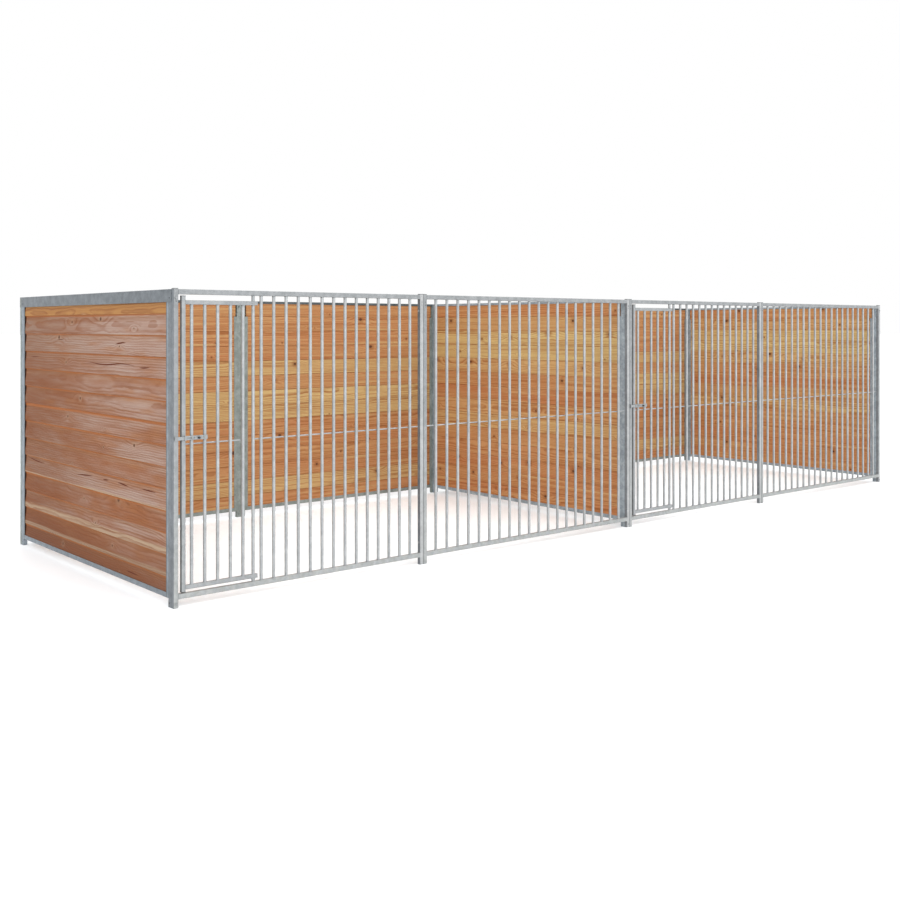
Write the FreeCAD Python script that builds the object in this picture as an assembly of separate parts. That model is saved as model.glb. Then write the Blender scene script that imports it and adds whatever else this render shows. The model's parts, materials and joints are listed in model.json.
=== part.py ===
import FreeCAD, Part
import os

from FreeCAD import Placement, Rotation, Vector

# Double dog kennel: two runs side by side, each with a barred door panel and a bar panel in front,
# and board panels at the sides, between the runs and along the back.
# Millimetres, +X to the right, +Y to the back, +Z up, origin under the middle of the whole kennel.

# One run
DOOR_PANEL_WIDTH = 1850.0
BAR_PANEL_WIDTH = 2150.0
RUN_DEPTH = 2500.0
PANEL_HEIGHT = 1840.0
FOOT_HEIGHT = 50.0

# Square tube of the front panels
POST = 30.0
TUBE_WALL = 2.0
TUBE_CORNER = 3.0
CAP_HEIGHT = 6.0
CAP_BEVEL = 2.5
VENT_DIAMETER = 7.0
VENT_DROPS = (50.0, 70.0)

# Bars and the thin brace rod behind them
BAR_DIAMETER = 20.0
BAR_WALL = 1.5
PANEL_BARS = 20
FIXED_BARS = 14
ROD_DIAMETER = 8.0
ROD_HEIGHT = 940.0

# Door, hung on a bar that runs through its drilled rail ends
DOOR_TUBE = 25.0
DOOR_SIDE_GAP = 22.0
DOOR_HEAD_GAP = 10.0
DOOR_FOOT_GAP = 8.0
STILE_HORN = 23.0
STILE_TOE = 11.0
DOOR_BARS = 5
DOOR_FIRST_GAP = 33.0
DOOR_LAST_GAP = 50.0
HINGE_POSITION = 529.0
HINGE_CLEARANCE = 0.05
HINGE_RAIL_END = 25.0
HINGE_BAR_GAP = 36.0
COLLAR_DIAMETER = 28.0
COLLAR_HEIGHT = 8.0
PLUG_FLANGE = 3.0
PLUG_DEPTH = 15.0

# Sliding latch
LATCH_HEIGHT = 977.0
PLATE_HEIGHT = 25.0
PLATE_THICKNESS = 4.0
PLATE_HOLE_DIAMETER = 6.0
PLATE_HOLE_INSET = 24.0
BOLT_HEIGHT = 20.0
BOLT_THICKNESS = 5.0
BOLT_TIP = 17.0
BOLT_TAIL = 17.0
BOLT_WITHDRAWN = 40.0
BOLT_SHOT = 12.0
SLIDE_CLEARANCE = 0.3
GUIDE_WIDTH = 12.0
GUIDE_THICKNESS = 3.0
KEEPER_INSET = 3.0
KEEPER_CLEARANCE = 1.0
PIN_FROM_STILE = 38.0
PIN_DIAMETER = 6.0
PIN_HEAD_DIAMETER = 11.0
PIN_HEAD_HEIGHT = 2.5
KNOB_FROM_STILE = 76.0
KNOB_STEM_DIAMETER = 7.0
KNOB_STEM_LENGTH = 6.0
KNOB_DIAMETER = 14.0
KNOB_LENGTH = 12.0
KNOB_BEVEL = 3.0

# Board panels: rolled stiles with lips, a channel below and a folded capping above
STILE_WIDTH = 40.0
LIP_WIDTH = 26.0
SHEET = 2.0
LOADING_GAP = 130.0
CHANNEL_HEIGHT = 30.0
CAPPING_OUTSIDE = 74.0
CAPPING_INSIDE = 20.0
CAPPING_NOTCH = 35.0

# Rebated boards, thick at the lower edge
BOARD_COUNT = 14
BOARD_THICKNESS = 24.0
BOARD_THIN_EDGE = 16.0
BOARD_LAP = 10.0
BOARD_TONGUE = 11.0
BOARD_GAP = 0.3
BOARD_EASING = 2.0
BOARD_END_CLEARANCE = 12.0

# Fasteners that join the panels, and the holes left open for more panels
BOLT_DIAMETER = 8.0
BOLT_CLEARANCE = 0.5
HEAD_ACROSS_FLATS = 13.0
HEAD_HEIGHT = 5.3
NUT_HEIGHT = 6.5
BOLT_PROTRUSION = 1.5
JOINT_BOLT_LOW = 150.0
JOINT_BOLT_DROP = 110.0
CORNER_BOLT_LOW = 25.0
CORNER_BOLT_DROP = 50.0
SPARE_HOLE_DIAMETER = 11.0
SPARE_HOLE_INSET = 24.0
CUT_SLACK = 1.0

X_AXIS = Vector(1, 0, 0)
Y_AXIS = Vector(0, 1, 0)
Z_AXIS = Vector(0, 0, 1)

# Places worked out from the sizes above
RUN_WIDTH = DOOR_PANEL_WIDTH + BAR_PANEL_WIDTH
RAIL_LOW = FOOT_HEIGHT
RAIL_HIGH = PANEL_HEIGHT - POST
BAR_RADIUS = BAR_DIAMETER / 2
BAR_DEPTH = POST / 2
BAR_FOOT = RAIL_LOW + POST
DOOR_DEPTH = (POST - DOOR_TUBE) / 2
DOOR_LEFT = POST + DOOR_SIDE_GAP
DOOR_INSIDE = DOOR_LEFT + DOOR_TUBE
DOOR_FOOT = BAR_FOOT + DOOR_FOOT_GAP
DOOR_HEAD = RAIL_HIGH - DOOR_HEAD_GAP
DOOR_RAIL_LOW = DOOR_FOOT + STILE_TOE
DOOR_RAIL_HIGH = DOOR_HEAD - STILE_HORN - DOOR_TUBE
FIRST_DOOR_BAR = DOOR_INSIDE + DOOR_FIRST_GAP + BAR_RADIUS
LAST_DOOR_BAR = HINGE_POSITION - DOOR_LAST_GAP - BAR_DIAMETER
DOOR_BAR_PITCH = (LAST_DOOR_BAR - FIRST_DOOR_BAR) / (DOOR_BARS - 1)
FIRST_FIXED_BAR = HINGE_POSITION + HINGE_BAR_GAP + BAR_DIAMETER
PLATE_FRONT = DOOR_DEPTH - PLATE_THICKNESS
BOLT_BACK = PLATE_FRONT - SLIDE_CLEARANCE
BOLT_FRONT = BOLT_BACK - BOLT_THICKNESS
GUIDE_BACK = BOLT_FRONT - SLIDE_CLEARANCE
KNOB_FRONT = BOLT_FRONT - KNOB_STEM_LENGTH - KNOB_LENGTH
SIDE_LENGTH = RUN_DEPTH - 2 * POST
JOINT_BOLT_HEIGHTS = (JOINT_BOLT_LOW, PANEL_HEIGHT - JOINT_BOLT_DROP)
CORNER_BOLT_HEIGHTS = (CORNER_BOLT_LOW, PANEL_HEIGHT - CORNER_BOLT_DROP)
BACK_REACH = RUN_DEPTH + SHEET + HEAD_HEIGHT
ORIGIN_SHIFT = Vector(-RUN_WIDTH, -(KNOB_FRONT + BACK_REACH) / 2, 0)


def box(low, high):
    """Block between two corners given as (x, y, z)."""
    size = [b - a for a, b in zip(low, high)]
    return Part.makeBox(size[0], size[1], size[2], Vector(*low))


def cylinder(start, direction, diameter, length):
    return Part.makeCylinder(diameter / 2, length, start, direction)


def prism(points, direction):
    """Closed outline of points pushed along a direction."""
    return Part.Face(Part.makePolygon(points + points[:1])).extrude(direction)


def long_edges(shape, axis):
    """Straight edges of a block that run along an axis."""
    found = []
    for edge in shape.Edges:
        along = edge.Vertexes[1].Point - edge.Vertexes[0].Point
        if abs(along.dot(axis)) > 0.99 * along.Length:
            found.append(edge)
    return found


def tube(low, high, axis):
    """Square tube with rounded corners, open at both ends, that runs along an axis."""
    block = box(low, high)
    outside = block.makeFillet(TUBE_CORNER, long_edges(block, axis))
    keep = Vector(1, 1, 1) - axis
    inner_low = Vector(*low) + keep * TUBE_WALL - axis * CUT_SLACK
    inner_high = Vector(*high) - keep * TUBE_WALL + axis * CUT_SLACK
    return outside.cut(box(tuple(inner_low), tuple(inner_high)))


def round_tube(start, direction, length):
    """Hollow round bar."""
    bore = cylinder(start - direction * CUT_SLACK, direction, BAR_DIAMETER - 2 * BAR_WALL, length + 2 * CUT_SLACK)
    return cylinder(start, direction, BAR_DIAMETER, length).cut(bore)


def upright_bars(first, pitch, count, foot, head):
    """Row of upright bars in the middle of a front panel's depth."""
    bars = []
    for index in range(count):
        start = Vector(first + index * pitch, BAR_DEPTH, foot)
        bars.append(round_tube(start, Z_AXIS, head - foot))
    return bars


def brace_rod(left, right):
    """Thin rod across the back of the bars."""
    depth = BAR_DEPTH + BAR_RADIUS + ROD_DIAMETER / 2
    return [cylinder(Vector(left, depth, ROD_HEIGHT), X_AXIS, ROD_DIAMETER, right - left)]


# Front panels, each drawn from its own lower left front corner


def front_post(left):
    """Post with two zinc vent holes near the top of its front wall."""
    post = tube((left, 0, 0), (left + POST, POST, PANEL_HEIGHT), Z_AXIS)
    for drop in VENT_DROPS:
        start = Vector(left + POST / 2, -CUT_SLACK, PANEL_HEIGHT - drop)
        post = post.cut(cylinder(start, Y_AXIS, VENT_DIAMETER, TUBE_WALL + 2 * CUT_SLACK))
    return post


def front_frame(width):
    """Two posts that reach the ground and two rails between them."""
    left = POST
    right = width - POST
    rails = [tube((left, 0, z), (right, POST, z + POST), X_AXIS) for z in (RAIL_LOW, RAIL_HIGH)]
    return [front_post(0), front_post(right)] + rails


def bar_panel_bars():
    """Bars with equal gaps from post to post."""
    gap = (BAR_PANEL_WIDTH - 2 * POST - PANEL_BARS * BAR_DIAMETER) / (PANEL_BARS + 1)
    return upright_bars(POST + gap + BAR_RADIUS, gap + BAR_DIAMETER, PANEL_BARS, BAR_FOOT, RAIL_HIGH)


def fixed_bars():
    """Bars beside the doorway, with equal gaps up to the right post."""
    room = DOOR_PANEL_WIDTH - POST - FIRST_FIXED_BAR - BAR_RADIUS - (FIXED_BARS - 1) * BAR_DIAMETER
    pitch = room / FIXED_BARS + BAR_DIAMETER
    return upright_bars(FIRST_FIXED_BAR, pitch, FIXED_BARS, BAR_FOOT, RAIL_HIGH)


def hinge_bar():
    """Bar that the door turns on, and the collar that carries the door's lower rail."""
    bar = upright_bars(HINGE_POSITION, 0, 1, BAR_FOOT, RAIL_HIGH)
    start = Vector(HINGE_POSITION, BAR_DEPTH, DOOR_RAIL_LOW - SLIDE_CLEARANCE - COLLAR_HEIGHT)
    ring = cylinder(start, Z_AXIS, COLLAR_DIAMETER, COLLAR_HEIGHT)
    bore = cylinder(start - Z_AXIS * CUT_SLACK, Z_AXIS, BAR_DIAMETER, COLLAR_HEIGHT + 2 * CUT_SLACK)
    return bar + [ring.cut(bore)]


# Door


def door_rail(bottom):
    """Rail from the stile past the hinge bar, drilled for it."""
    low = (DOOR_INSIDE, DOOR_DEPTH, bottom)
    high = (HINGE_POSITION + HINGE_RAIL_END, DOOR_DEPTH + DOOR_TUBE, bottom + DOOR_TUBE)
    start = Vector(HINGE_POSITION, BAR_DEPTH, bottom - CUT_SLACK)
    hole = cylinder(start, Z_AXIS, BAR_DIAMETER + 2 * HINGE_CLEARANCE, DOOR_TUBE + 2 * CUT_SLACK)
    return tube(low, high, X_AXIS).cut(hole)


def door_frame():
    stile_low = (DOOR_LEFT, DOOR_DEPTH, DOOR_FOOT)
    stile_high = (DOOR_INSIDE, DOOR_DEPTH + DOOR_TUBE, DOOR_HEAD)
    return [tube(stile_low, stile_high, Z_AXIS), door_rail(DOOR_RAIL_LOW), door_rail(DOOR_RAIL_HIGH)]


def door_bars():
    return upright_bars(FIRST_DOOR_BAR, DOOR_BAR_PITCH, DOOR_BARS, DOOR_RAIL_LOW + DOOR_TUBE, DOOR_RAIL_HIGH)


def door_plug(end, inwards):
    """Plug with a flange that closes one end of the door stile."""
    reach = (end - inwards * PLUG_FLANGE, end + inwards * PLUG_DEPTH)
    wide = (min(end, reach[0]), max(end, reach[0]))
    narrow = (min(end, reach[1]), max(end, reach[1]))
    back = DOOR_DEPTH + DOOR_TUBE
    inset = TUBE_WALL + SLIDE_CLEARANCE
    flange = box((DOOR_LEFT, DOOR_DEPTH, wide[0]), (DOOR_INSIDE, back, wide[1]))
    tongue_low = (DOOR_LEFT + inset, DOOR_DEPTH + inset, narrow[0])
    tongue_high = (DOOR_INSIDE - inset, back - inset, narrow[1])
    return flange.fuse(box(tongue_low, tongue_high)).removeSplitter()


def door_plugs():
    return [door_plug(DOOR_FOOT, 1), door_plug(DOOR_HEAD, -1)]


# Latch on the door and its keeper on the post


def latch_plate():
    """Flat plate welded across the stile and the first two door bars."""
    left = DOOR_LEFT + DOOR_TUBE / 2
    right = FIRST_DOOR_BAR + DOOR_BAR_PITCH + BAR_RADIUS
    half = PLATE_HEIGHT / 2
    plate = box((left, PLATE_FRONT, LATCH_HEIGHT - half), (right, DOOR_DEPTH, LATCH_HEIGHT + half))
    start = Vector(right - PLATE_HOLE_INSET, PLATE_FRONT - CUT_SLACK, LATCH_HEIGHT)
    hole = cylinder(start, Y_AXIS, PLATE_HOLE_DIAMETER, PLATE_THICKNESS + 2 * CUT_SLACK)
    return [plate.cut(hole)]


def staple(left, back, front, clearance):
    """Strap bent over the bolt: two legs that stand on a face and a bridge in front."""
    inner = BOLT_HEIGHT / 2 + clearance
    outer = inner + GUIDE_THICKNESS
    right = left + GUIDE_WIDTH
    block = box((left, front - GUIDE_THICKNESS, LATCH_HEIGHT - outer), (right, back, LATCH_HEIGHT + outer))
    way_low = (left - CUT_SLACK, front, LATCH_HEIGHT - inner)
    way_high = (right + CUT_SLACK, back + CUT_SLACK, LATCH_HEIGHT + inner)
    return block.cut(box(way_low, way_high))


def latch_guides():
    """Staple on the stile and the headed pin that runs in the bolt's slot."""
    left = DOOR_LEFT + DOOR_TUBE / 2
    guide = staple(left, PLATE_FRONT, GUIDE_BACK, SLIDE_CLEARANCE)
    start = Vector(DOOR_INSIDE + PIN_FROM_STILE, PLATE_FRONT, LATCH_HEIGHT)
    pin = cylinder(start, -Y_AXIS, PIN_DIAMETER, PLATE_FRONT - GUIDE_BACK)
    head = cylinder(start - Y_AXIS * (PLATE_FRONT - GUIDE_BACK), -Y_AXIS, PIN_HEAD_DIAMETER, PIN_HEAD_HEIGHT)
    return [guide, pin.fuse(head)]


def latch_keeper():
    """Staple on the post that the bolt is shot into."""
    return [staple(KEEPER_INSET, 0, GUIDE_BACK - KEEPER_CLEARANCE, KEEPER_CLEARANCE)]


def bolt_slot():
    """Slot with round ends, as long as the bolt's travel."""
    width = PIN_DIAMETER + 2 * SLIDE_CLEARANCE
    pin = DOOR_INSIDE + PIN_FROM_STILE
    left = pin - BOLT_WITHDRAWN
    right = pin + BOLT_SHOT
    front = BOLT_FRONT - CUT_SLACK
    through = BOLT_THICKNESS + 2 * CUT_SLACK
    low = (left, front, LATCH_HEIGHT - width / 2)
    high = (right, front + through, LATCH_HEIGHT + width / 2)
    ends = [cylinder(Vector(x, front, LATCH_HEIGHT), Y_AXIS, width, through) for x in (left, right)]
    return box(low, high).fuse(ends)


def latch_bolt():
    half = BOLT_HEIGHT / 2
    tail = DOOR_INSIDE + KNOB_FROM_STILE + BOLT_TAIL
    bolt = box((BOLT_TIP, BOLT_FRONT, LATCH_HEIGHT - half), (tail, BOLT_BACK, LATCH_HEIGHT + half))
    return [bolt.cut(bolt_slot())]


def latch_knob():
    """Round knob on a stem, to pull the bolt by."""
    start = Vector(DOOR_INSIDE + KNOB_FROM_STILE, BOLT_FRONT, LATCH_HEIGHT)
    stem = cylinder(start, -Y_AXIS, KNOB_STEM_DIAMETER, KNOB_STEM_LENGTH)
    grip = cylinder(start - Y_AXIS * KNOB_STEM_LENGTH, -Y_AXIS, KNOB_DIAMETER, KNOB_LENGTH)
    front_edges = [edge for edge in grip.Edges if edge.BoundBox.YMax < KNOB_FRONT + CUT_SLACK]
    return [stem.fuse(grip.makeChamfer(KNOB_BEVEL, front_edges))]


# Board panels, each drawn with its outside at the front and its left end at the origin


def board_stile():
    """Tube with two lips that take the board ends; the inside lip stops short so that boards load from above."""
    head = PANEL_HEIGHT - SHEET
    lip_foot = FOOT_HEIGHT + CHANNEL_HEIGHT
    lip_right = STILE_WIDTH + LIP_WIDTH
    post = tube((0, 0, 0), (STILE_WIDTH, POST, head), Z_AXIS)
    flat = STILE_WIDTH - TUBE_CORNER
    outside_lip = box((flat, 0, lip_foot), (lip_right, SHEET, head))
    inside_lip = box((flat, POST - SHEET, lip_foot), (lip_right, POST, head - LOADING_GAP))
    return post.fuse([outside_lip, inside_lip]).removeSplitter()


def mirrored(shape, length):
    """The same piece at the other end of a panel."""
    return shape.mirror(Vector(length / 2, 0, 0), X_AXIS)


def board_channel(length):
    """Channel between the stiles that the lowest board stands in."""
    top = FOOT_HEIGHT + CHANNEL_HEIGHT
    left = STILE_WIDTH
    right = length - STILE_WIDTH
    block = box((left, 0, FOOT_HEIGHT), (right, POST, top))
    way_low = (left - CUT_SLACK, SHEET, FOOT_HEIGHT + SHEET)
    way_high = (right + CUT_SLACK, POST - SHEET, top + CUT_SLACK)
    return block.cut(box(way_low, way_high))


def capping(length, notch):
    """Folded sheet over the top, deep outside and shallow inside, its inside lip notched at the ends."""
    top = PANEL_HEIGHT
    web = box((0, -SHEET, top - SHEET), (length, POST + SHEET, top))
    outside = box((0, -SHEET, top - CAPPING_OUTSIDE), (length, 0, top - SHEET))
    inside = box((notch, POST, top - CAPPING_INSIDE), (length - notch, POST + SHEET, top - SHEET))
    web = web.cut(box((-CUT_SLACK, POST, top - SHEET), (notch, POST + 2 * SHEET, top + CUT_SLACK)))
    far = length + CUT_SLACK
    web = web.cut(box((length - notch, POST, top - SHEET), (far, POST + 2 * SHEET, top + CUT_SLACK)))
    return web.fuse([outside, inside]).removeSplitter()


def board_outline(depth, height, lap, tongue):
    """Section of a board across its panel: flat inside, bevelled outside, lapped below and tongued above."""
    outside = depth
    inside = depth + BOARD_THICKNESS
    thin = inside - BOARD_THIN_EDGE
    lap_back = inside - BOARD_TONGUE - BOARD_GAP
    tongue_front = inside - BOARD_TONGUE
    return [(inside - BOARD_EASING, 0), (lap_back, 0), (lap_back, -lap), (outside, -lap),
            (thin, height - tongue), (tongue_front, height - tongue), (tongue_front, height),
            (inside - BOARD_EASING, height), (inside, height - BOARD_EASING), (inside, BOARD_EASING)]


def boards(length):
    """Stack of boards from the channel up to the capping."""
    floor = FOOT_HEIGHT + SHEET
    pitch = (PANEL_HEIGHT - SHEET - floor) / BOARD_COUNT
    left = STILE_WIDTH + BOARD_END_CLEARANCE
    right = length - left
    depth = (POST - BOARD_THICKNESS) / 2
    stack = []
    for index in range(BOARD_COUNT):
        lap = BOARD_LAP if index > 0 else 0
        tongue = BOARD_LAP if index < BOARD_COUNT - 1 else 0
        outline = board_outline(depth, pitch - BOARD_GAP, lap, tongue)
        bottom = floor + index * pitch
        points = [Vector(left, across, bottom + up) for across, up in outline]
        stack.append(prism(points, X_AXIS * (right - left)))
    return stack


def board_panel(length, notch):
    """Steel frame, capping and boards of one panel."""
    stile = board_stile()
    frame = [stile, mirrored(stile, length), board_channel(length)]
    return {"frame": frame, "capping": [capping(length, notch)], "boards": boards(length)}


# Fasteners


def hexagon(start, direction, height):
    """Six-sided head or nut standing on a face."""
    turn = Rotation(Z_AXIS, direction)
    radius = HEAD_ACROSS_FLATS / 3 ** 0.5
    corners = []
    for index in range(6):
        spoke = Rotation(Z_AXIS, 60 * index).multVec(X_AXIS) * radius
        corners.append(start + turn.multVec(spoke))
    return prism(corners, direction * height)


def screw(start, direction, grip):
    """Hexagon bolt through a stack of a given thickness."""
    shank = cylinder(start, direction, BOLT_DIAMETER, grip + NUT_HEIGHT + BOLT_PROTRUSION)
    return hexagon(start, -direction, HEAD_HEIGHT).fuse(shank).removeSplitter()


def nut(start, direction, grip):
    """Nut on the far side of the stack."""
    face = start + direction * grip
    bore = cylinder(face - direction * CUT_SLACK, direction, BOLT_DIAMETER, NUT_HEIGHT + 2 * CUT_SLACK)
    return hexagon(face, direction, NUT_HEIGHT).cut(bore)


def bolt_places():
    """Start, direction and grip of every bolt between two panels."""
    places = []
    panel_joints = (DOOR_PANEL_WIDTH, RUN_WIDTH, RUN_WIDTH + DOOR_PANEL_WIDTH)
    back = RUN_DEPTH - POST / 2
    for x in panel_joints:
        for z in JOINT_BOLT_HEIGHTS:
            places.append((Vector(x - POST, POST / 2, z), X_AXIS, 2 * POST))
            places.append((Vector(x - STILE_WIDTH, back, z), X_AXIS, 2 * STILE_WIDTH))
    for x in (POST / 2, RUN_WIDTH - POST / 2, 2 * RUN_WIDTH - POST / 2):
        for z in CORNER_BOLT_HEIGHTS:
            sheet = SHEET if z > PANEL_HEIGHT - CAPPING_OUTSIDE else 0
            places.append((Vector(x, 0, z), Y_AXIS, POST + TUBE_WALL))
            places.append((Vector(x, RUN_DEPTH + sheet, z), -Y_AXIS, POST + TUBE_WALL + sheet))
    return places


def bolt_holes():
    """Clearance holes for every bolt, a little longer than its grip."""
    holes = []
    for start, direction, grip in bolt_places():
        diameter = BOLT_DIAMETER + 2 * BOLT_CLEARANCE
        holes.append(cylinder(start - direction * CUT_SLACK, direction, diameter, grip + 2 * CUT_SLACK))
    return holes


def spare_holes():
    """Open holes: through the outer side panels for more panels, and inside the joints of the back wall."""
    holes = []
    reach = POST + 2 * SHEET + 2 * CUT_SLACK
    for x in (-SHEET - CUT_SLACK, 2 * RUN_WIDTH - POST - SHEET - CUT_SLACK):
        for y in (POST + SPARE_HOLE_INSET, RUN_DEPTH - POST - SPARE_HOLE_INSET):
            for z in CORNER_BOLT_HEIGHTS:
                holes.append(cylinder(Vector(x, y, z), X_AXIS, SPARE_HOLE_DIAMETER, reach))
    inner_face = RUN_DEPTH - POST - CUT_SLACK
    for joint in (DOOR_PANEL_WIDTH, RUN_WIDTH + DOOR_PANEL_WIDTH):
        for x in (joint - STILE_WIDTH / 2, joint + STILE_WIDTH / 2):
            for z in CORNER_BOLT_HEIGHTS:
                depth = TUBE_WALL + 2 * CUT_SLACK
                holes.append(cylinder(Vector(x, inner_face, z), Y_AXIS, SPARE_HOLE_DIAMETER, depth))
    return holes


def post_cap(left):
    """Low cap on a front post, with rounded corners and a bevelled rim."""
    cap = box((left, 0, PANEL_HEIGHT), (left + POST, POST, PANEL_HEIGHT + CAP_HEIGHT))
    cap = cap.makeFillet(TUBE_CORNER, long_edges(cap, Z_AXIS))
    rim = [edge for edge in cap.Edges if edge.BoundBox.ZMin > PANEL_HEIGHT]
    return cap.makeChamfer(CAP_BEVEL, rim)


# Putting the kennel together


def put(solids, angle, offset):
    """Turn solids about +Z and move them into place."""
    placement = Placement(offset, Rotation(Z_AXIS, angle))
    return [solid.transformed(placement.toMatrix()) for solid in solids]


def run_nodes(side, left):
    """Front panels and door of one run."""
    at = Vector(left, 0, 0)
    bar_at = Vector(left + DOOR_PANEL_WIDTH, 0, 0)
    nodes = {
        "door_panel_frame": put(front_frame(DOOR_PANEL_WIDTH), 0, at),
        "door_panel_bars": put(fixed_bars(), 0, at),
        "door_panel_rod": put(brace_rod(HINGE_POSITION, DOOR_PANEL_WIDTH - POST), 0, at),
        "hinge_bar": put(hinge_bar(), 0, at),
        "door_frame": put(door_frame(), 0, at),
        "door_bars": put(door_bars(), 0, at),
        "door_rod": put(brace_rod(DOOR_INSIDE, LAST_DOOR_BAR + BAR_RADIUS), 0, at),
        "door_plugs": put(door_plugs(), 0, at),
        "latch_plate": put(latch_plate(), 0, at),
        "latch_guides": put(latch_guides(), 0, at),
        "latch_bolt": put(latch_bolt(), 0, at),
        "latch_knob": put(latch_knob(), 0, at),
        "latch_keeper": put(latch_keeper(), 0, at),
        "bar_panel_frame": put(front_frame(BAR_PANEL_WIDTH), 0, bar_at),
        "bar_panel_bars": put(bar_panel_bars(), 0, bar_at),
        "bar_panel_rod": put(brace_rod(POST, BAR_PANEL_WIDTH - POST), 0, bar_at),
    }
    return {side + "_" + name: solids for name, solids in nodes.items()}


def wall_nodes():
    """Board panels at the sides, between the runs and along the back."""
    door_wide = board_panel(DOOR_PANEL_WIDTH, CAPPING_NOTCH)
    bar_wide = board_panel(BAR_PANEL_WIDTH, CAPPING_NOTCH)
    side = board_panel(SIDE_LENGTH, 0)
    back = RUN_DEPTH
    far = 2 * RUN_WIDTH
    walls = (
        ("left_side", side, -90, Vector(0, back - POST, 0)),
        ("partition", side, 90, Vector(RUN_WIDTH, POST, 0)),
        ("right_side", side, 90, Vector(far, POST, 0)),
        ("left_back_narrow", door_wide, 180, Vector(DOOR_PANEL_WIDTH, back, 0)),
        ("left_back_wide", bar_wide, 180, Vector(RUN_WIDTH, back, 0)),
        ("right_back_narrow", door_wide, 180, Vector(RUN_WIDTH + DOOR_PANEL_WIDTH, back, 0)),
        ("right_back_wide", bar_wide, 180, Vector(far, back, 0)),
    )
    nodes = {}
    for name, panel, angle, offset in walls:
        for piece, solids in panel.items():
            nodes[name + "_" + piece] = put(solids, angle, offset)
    return nodes


def cap_nodes():
    """Caps on the eight front posts."""
    caps = []
    for panel_left, width in ((0, DOOR_PANEL_WIDTH), (DOOR_PANEL_WIDTH, BAR_PANEL_WIDTH)):
        for run_left in (0, RUN_WIDTH):
            caps.append(post_cap(run_left + panel_left))
            caps.append(post_cap(run_left + panel_left + width - POST))
    return {"post_caps": caps}


def fastener_nodes():
    places = bolt_places()
    screws = [screw(*place) for place in places]
    nuts = [nut(*place) for place in places]
    return {"joining_bolts": screws, "joining_nuts": nuts}


def drill(solid, holes):
    """Cut the holes that reach a solid."""
    reached = [hole for hole in holes if hole.BoundBox.intersect(solid.BoundBox)]
    return solid.cut(reached) if reached else solid


def drill_panels(nodes):
    """Drill the panel frames and cappings for their bolts and spare holes."""
    holes = bolt_holes() + spare_holes()
    for name, solids in nodes.items():
        if name.endswith(("_frame", "_capping")):
            nodes[name] = [drill(solid, holes) for solid in solids]


def main():
    os.makedirs("parts", exist_ok=True)
    nodes = {}
    nodes.update(run_nodes("left", 0))
    nodes.update(run_nodes("right", RUN_WIDTH))
    nodes.update(wall_nodes())
    drill_panels(nodes)
    nodes.update(cap_nodes())
    nodes.update(fastener_nodes())
    for name, shapes in nodes.items():
        solids = [solid for shape in shapes for solid in shape.Solids]
        part = Part.makeCompound(solids) if len(solids) > 1 else solids[0]
        part.translate(ORIGIN_SHIFT)
        part.exportStep("parts/" + name + ".step")
    print(len(nodes), "nodes")


main()
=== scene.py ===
import json
import math

import bmesh
import bpy
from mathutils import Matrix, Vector


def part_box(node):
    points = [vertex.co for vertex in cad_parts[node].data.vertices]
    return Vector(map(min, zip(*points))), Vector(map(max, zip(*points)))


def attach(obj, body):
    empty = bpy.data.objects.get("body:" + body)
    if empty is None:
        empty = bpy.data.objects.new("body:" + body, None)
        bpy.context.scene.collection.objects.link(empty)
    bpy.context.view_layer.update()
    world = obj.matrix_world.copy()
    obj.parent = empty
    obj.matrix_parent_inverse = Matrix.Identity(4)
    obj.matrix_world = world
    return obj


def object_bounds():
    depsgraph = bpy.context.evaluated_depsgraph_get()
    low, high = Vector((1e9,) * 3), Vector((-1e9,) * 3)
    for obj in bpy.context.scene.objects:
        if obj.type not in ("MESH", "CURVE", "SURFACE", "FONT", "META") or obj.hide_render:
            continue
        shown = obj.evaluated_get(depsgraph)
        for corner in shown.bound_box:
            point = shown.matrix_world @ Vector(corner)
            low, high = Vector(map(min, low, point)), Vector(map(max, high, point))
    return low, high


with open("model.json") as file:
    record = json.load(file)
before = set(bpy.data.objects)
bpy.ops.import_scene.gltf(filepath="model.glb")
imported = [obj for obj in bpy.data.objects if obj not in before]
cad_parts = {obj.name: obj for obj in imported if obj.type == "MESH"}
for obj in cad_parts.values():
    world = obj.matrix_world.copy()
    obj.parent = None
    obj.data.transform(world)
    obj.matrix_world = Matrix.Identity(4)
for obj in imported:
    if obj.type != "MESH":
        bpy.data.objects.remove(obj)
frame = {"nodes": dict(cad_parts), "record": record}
cad_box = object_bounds()

# Camera, placed in metres from the kennel's front left corner on the ground; its turn is in radians, its
# focal length and horizon in pixels of the picture, and the sensor in millimetres
IMAGE_SIZE = 900
SENSOR_WIDTH = 36.0
FOCAL_PIXELS = 1103.0
HORIZON_ROW = 326.3
CAMERA_FROM_CORNER = Vector((-2.907, -5.849, 1.625))
CAMERA_YAW = 0.7067

# Lights: the way each shines, its strength and its softness in degrees
SKY_STRENGTH = 1.0
SUNS = {
    "key": ((0.15, 0.90, -0.45), 3.4, 80.0),
    "top": ((0.0, 0.1, -1.0), 0.5, 70.0),
    "back_fill": ((-0.6, -0.6, -0.5), 1.5, 60.0),
}

# Floor: its size in metres, its two tones, the clouds of tone on it and its surface
FLOOR_SIZE = 400.0
FLOOR_TONES = ((0.88, 0.90, 0.92, 1.0), (0.90, 0.92, 0.94, 1.0))
FLOOR_CLOUDS_PER_METRE = 0.8
FLOOR_ROUGHNESS = 0.9
FLOOR_BUMP = 0.0001

# How bright a white upright face comes out in these lights: the front's frames and its bars, the steel and
# the boards on the outside of a wall, and the back wall, the side walls and their stiles inside a run
FRONT_LIGHT = 2.20
BAR_LIGHT = 1.78
SIDE_LIGHT = 1.47
OUTSIDE_BOARD_LIGHT = 1.55
RUN_BACK_LIGHT = 1.80
RUN_SIDE_LIGHT = 1.21
RUN_STILE_LIGHT = 0.85

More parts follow.
